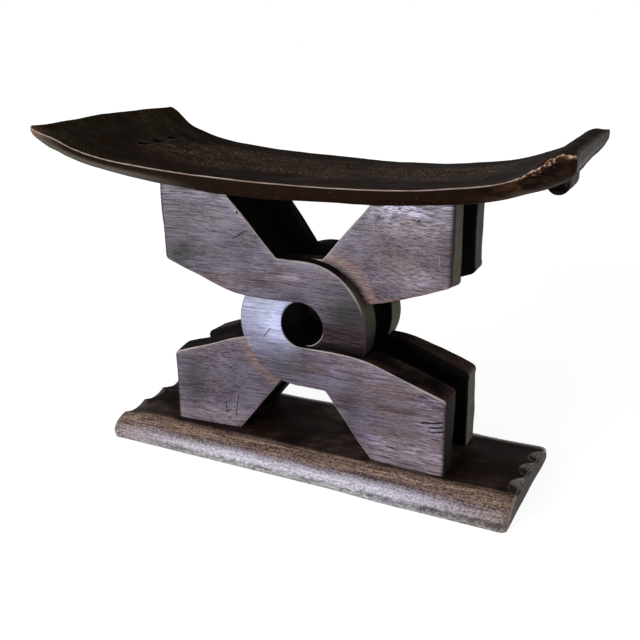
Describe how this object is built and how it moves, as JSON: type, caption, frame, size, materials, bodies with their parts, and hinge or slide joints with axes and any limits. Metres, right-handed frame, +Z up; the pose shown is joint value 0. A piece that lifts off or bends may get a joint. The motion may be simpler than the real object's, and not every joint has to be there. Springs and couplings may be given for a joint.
{
  "type": "stool",
  "caption": "Low carved wooden stool with a long saddle seat on two panels of hooked C-shaped links, standing on a plank base with rounded edges.",
  "frame": {"origin": "middle of the base's underside, on the floor", "axes": "+X along the seat's length, +Y from the front edge to the back edge, +Z up"},
  "size_m": [0.45, 0.205, 0.3106],
  "materials": {
    "seat": "dark waxed hardwood, worn at the edges",
    "base": "dark waxed hardwood, worn at the edges",
    "front_left_link": "dark waxed hardwood, worn at the edges",
    "front_right_link": "dark waxed hardwood, worn at the edges",
    "back_right_link": "dark waxed hardwood, worn at the edges",
    "back_left_link": "dark waxed hardwood, worn at the edges",
    "left_grip_lug": "dark waxed hardwood, worn at the edges",
    "right_grip_lug": "dark waxed hardwood, worn at the edges"
  },
  "bodies": {
    "root": {"seat": "seat", "base": "base", "front_left_link": "front_left_link", "front_right_link": "front_right_link", "back_right_link": "back_right_link", "back_left_link": "back_left_link", "left_grip_lug": "left_grip_lug", "right_grip_lug": "right_grip_lug"}
  },
  "joints": []
}
